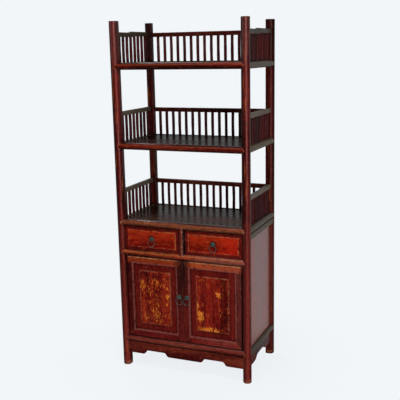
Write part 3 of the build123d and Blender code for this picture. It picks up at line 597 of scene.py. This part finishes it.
def pull_mount(name, body, node):
    """A thin domed plate with a shallow lobed edge, held by a bent staple of wire."""
    low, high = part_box(node)
    centre_x, centre_z = (low[0] + high[0]) / 2, (low[2] + high[2]) / 2
    radius = (high[0] - low[0]) / 2
    eye_y = low[1] + STAPLE_RADIUS + STAPLE_WIRE
    back = Vector((centre_x, eye_y + STAPLE_FRONT, centre_z))
    work = bmesh.new()
    made = bmesh.ops.create_circle(work, cap_ends=True, segments=PLATE_SEGMENTS, radius=radius,
                                   matrix=Matrix.Translation(back) @ UPRIGHT)
    for i, vert in enumerate(made["verts"]):
        vert.co -= (vert.co - back) * LOBE_DEPTH * (1 - math.cos(i * math.tau / LOBE_SEGMENTS))
    front, width, height = made["verts"][0].link_faces[0], 1.0, 0.0
    for i, (share, rise) in enumerate(PLATE_PROFILE):
        front = lengthen(work, front, bottom=(i == 0))
        for vert in front.verts:
            across = vert.co - back + Vector((0, height, 0))
            vert.co = back + across * (share / width) - Vector((0, rise, 0))
        width, height = share, rise

    eye = Vector((centre_x, eye_y, centre_z - STAPLE_BELOW_PLATE))
    foot = Matrix.Translation(eye + Vector((0, STAPLE_FRONT, STAPLE_RADIUS))) @ UPRIGHT
    wire = bmesh.ops.create_circle(work, cap_ends=True, segments=WIRE_SIDES, radius=STAPLE_WIRE, matrix=foot)
    tip = lengthen(work, wire["verts"][0].link_faces[0], bottom=True)
    bmesh.ops.translate(work, verts=tip.verts, vec=(0, -STAPLE_FRONT, 0))
    bow = bmesh.ops.spin(work, geom=[tip], cent=eye, axis=(1, 0, 0), dvec=(0, 0, 0), angle=math.radians(180),
                         steps=STAPLE_STEPS, use_merge=False, use_duplicate=False)
    bmesh.ops.delete(work, geom=[tip], context="FACES_ONLY")
    tip = lengthen(work, next(item for item in bow["geom_last"] if isinstance(item, bmesh.types.BMFace)))
    bmesh.ops.translate(work, verts=tip.verts, vec=(0, STAPLE_FRONT, 0))
    piece(name, work, plate_metal, body, node)


def pull_ring(name, body, node):
    """A ring bent from drawn wire, worn thin at the top where it hangs in the staple."""
    low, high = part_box(node)
    centre = Vector([(a + b) / 2 for a, b in zip(low, high)])
    wire = (high[1] - low[1]) / 2
    radius = (high[0] - low[0]) / 2 - wire
    work = bmesh.new()
    bmesh.ops.create_circle(work, segments=WIRE_SIDES, radius=wire,
                            matrix=Matrix.Translation(centre + Vector((radius, 0, 0))))
    bmesh.ops.spin(work, geom=list(work.edges), cent=centre, axis=(0, 1, 0), dvec=(0, 0, 0),
                   angle=math.tau, steps=RING_STEPS, use_merge=True, use_duplicate=False)
    for vert in work.verts:
        away = vert.co - centre
        core = Vector((away.x, 0, away.z)).normalized() * radius
        thin = RING_WIRE_SHARE - RING_WORN_SHARE * max(0.0, core.z / radius) ** 3
        vert.co = centre + core + (away - core) * thin
    piece(name, work, ring_metal, body, node)


for part in ("drawer_left", "drawer_right", "door_left", "door_right"):
    pull_mount(f"{part}_pull_plate", part, f"{part}_pull_mount")
    pull_ring(f"{part}_pull_loop", f"{part}_ring", f"{part}_pull_ring")


# ---------------------------------------------------------------- camera

FRAME_SIZE = 400                # pixels, in both directions
SENSOR = 36.0                   # mm


def camera_at(azimuth, elevation, roll, place, focal, centre):
    """Camera on a line of sight given in degrees, with its roll in radians and its place in metres.

    focal is its focal length and centre the point of the frame that it looks at, both in pixels.
    """
    data = bpy.data.cameras.new("camera")
    data.sensor_width = SENSOR
    data.lens = focal / FRAME_SIZE * SENSOR
    data.shift_x = (FRAME_SIZE / 2 - centre[0]) / FRAME_SIZE
    data.shift_y = (centre[1] - FRAME_SIZE / 2) / FRAME_SIZE
    a, e = math.radians(azimuth), math.radians(elevation)
    back = Vector((math.sin(a) * math.cos(e), -math.cos(a) * math.cos(e), math.sin(e)))
    right = (-back).cross(Vector((0, 0, 1))).normalized()
    up = right.cross(-back)
    c, s = math.cos(roll), math.sin(roll)
    turn = Matrix((c * right + s * up, c * up - s * right, back)).transposed().to_4x4()
    camera = bpy.data.objects.new("camera", data)
    camera.matrix_world = Matrix.Translation(place) @ turn
    bpy.context.scene.collection.objects.link(camera)
    bpy.context.scene.camera = camera


camera_at(azimuth=22.10, elevation=12.45, roll=-0.01797, place=(1.38993, -3.28070, 1.60597), focal=713.78,
          centre=(207.37, 207.89))


# ---------------------------------------------------------------- light and stage

def softbox(name, place, target, size, power):
    """A plain white rectangular softbox that faces its target, in metres and watts."""
    data = bpy.data.lights.new(name, "AREA")
    data.shape = "RECTANGLE"
    data.size, data.size_y = size
    data.energy = power
    lamp = bpy.data.objects.new(name, data)
    lamp.location = place
    lamp.rotation_euler = (Vector(place) - Vector(target)).to_track_quat("Z", "Y").to_euler()
    bpy.context.scene.collection.objects.link(lamp)


softbox("tall front softbox", (2.6, -3.4, 1.6), (0, 0, 1.1), (0.8, 2.9), 92)
softbox("fill softbox", (-3.4, -2.6, 2.6), (0, 0, 0.9), (1.0, 2.0), 26)
softbox("overhead softbox", (0.3, -1.6, 4.0), (0, 0, 0.9), (2.4, 1.2), 82)
# high enough to be out of what the shelf boards mirror
softbox("rear softbox", (-2.2, 2.2, 4.2), (0, 0, 0.9), (1.4, 1.4), 70)

BACKGROUND = "F2F6F9"
DARK_STUDIO = 0.03              # strength of the world as a light, and of paper in front as it is mirrored
MIRRORED = 0.6                  # strength of the paper behind as it is mirrored
MIRRORED_FROM = (-0.1, 0.5)     # y between which the first of these goes over into the second
SHADOW_REACH = (0.3, 1.0)       # how far from the middle the shadow starts to fade and has gone
PAPER_SIDE, PAPER_FRONT, PAPER_BACK, PAPER_TOP = 9, -7, 5, 7


def paper(name, shadow):
    """Seamless paper. The camera sees its plain colour, with a share of light and shadow near the feet."""
    material, tree, shader = blank(name)
    tree.nodes.remove(shader)
    place = add(tree, "TexCoord").outputs["Object"]
    depth = add(tree, "SeparateXYZ", links={"Vector": place}).outputs["Y"]
    mirrored = add(tree, "MapRange", {"interpolation_type": "SMOOTHSTEP"}, {
        "Value": depth, "From Min": MIRRORED_FROM[0], "From Max": MIRRORED_FROM[1],
        "To Min": DARK_STUDIO, "To Max": MIRRORED})
    path = add(tree, "LightPath")
    bounced = add(tree, "Math", {"operation": "MAXIMUM"}, {
        0: path.outputs["Is Glossy Ray"], 1: path.outputs["Is Transmission Ray"]})
    strength = add(tree, "Mix", {"data_type": "FLOAT"}, {"Factor": bounced, "A": 1.0, "B": mirrored})
    glow = add(tree, "Emission", links={"Color": BACKGROUND, "Strength": strength})
    lit = add(tree, "BsdfDiffuse", links={"Color": "F4F4F4"})
    # the lit share is round the feet only, so the shadow fades into the plain colour
    reach = add(tree, "VectorMath", {"operation": "LENGTH"}, {0: place}).outputs["Value"]
    around = add(tree, "MapRange", {"interpolation_type": "SMOOTHSTEP"}, {
        "Value": reach, "From Min": SHADOW_REACH[0], "From Max": SHADOW_REACH[1],
        "To Min": 1.0 - shadow, "To Max": 1.0})
    seen = add(tree, "Math", {"operation": "MULTIPLY"}, {0: path.outputs["Is Camera Ray"], 1: around})
    share = add(tree, "Math", {"operation": "MAXIMUM"}, {0: seen, 1: bounced})
    mix = add(tree, "MixShader", links={"Fac": share, 1: lit, 2: glow})
    plug(tree, tree.nodes["Material Output"].inputs["Surface"], mix)
    return material


def sheet_of_paper(name, near, far, material):
    """A flat stretch of paper from a near to a far edge (y, z), which isn't part of the object."""
    corners = [(-PAPER_SIDE, *near), (PAPER_SIDE, *near), (PAPER_SIDE, *far), (-PAPER_SIDE, *far)]
    work = bmesh.new()
    work.faces.new([work.verts.new(corner) for corner in corners])
    data = bpy.data.meshes.new(name)
    work.to_mesh(data)
    work.free()
    data.materials.append(material)
    sheet = bpy.data.objects.new(name, data)
    bpy.context.scene.collection.objects.link(sheet)


sheet_of_paper("floor", (PAPER_FRONT, 0), (PAPER_BACK, 0), paper("white floor paper", shadow=0.09))
sheet_of_paper("backdrop", (PAPER_BACK, 0), (PAPER_BACK, PAPER_TOP),
               paper("white backdrop paper", shadow=0.0))

scene = bpy.context.scene
scene.world = bpy.data.worlds.new("studio")
scene.world.use_nodes = True
sky = scene.world.node_tree
seen_plain = add(sky, "MapRange", links={"Value": add(sky, "LightPath").outputs["Is Camera Ray"],
                                         "To Min": DARK_STUDIO, "To Max": 1.0})
plug(sky, sky.nodes["Background"].inputs["Color"], BACKGROUND)
plug(sky, sky.nodes["Background"].inputs["Strength"], seen_plain)
scene.view_settings.view_transform = "Standard"
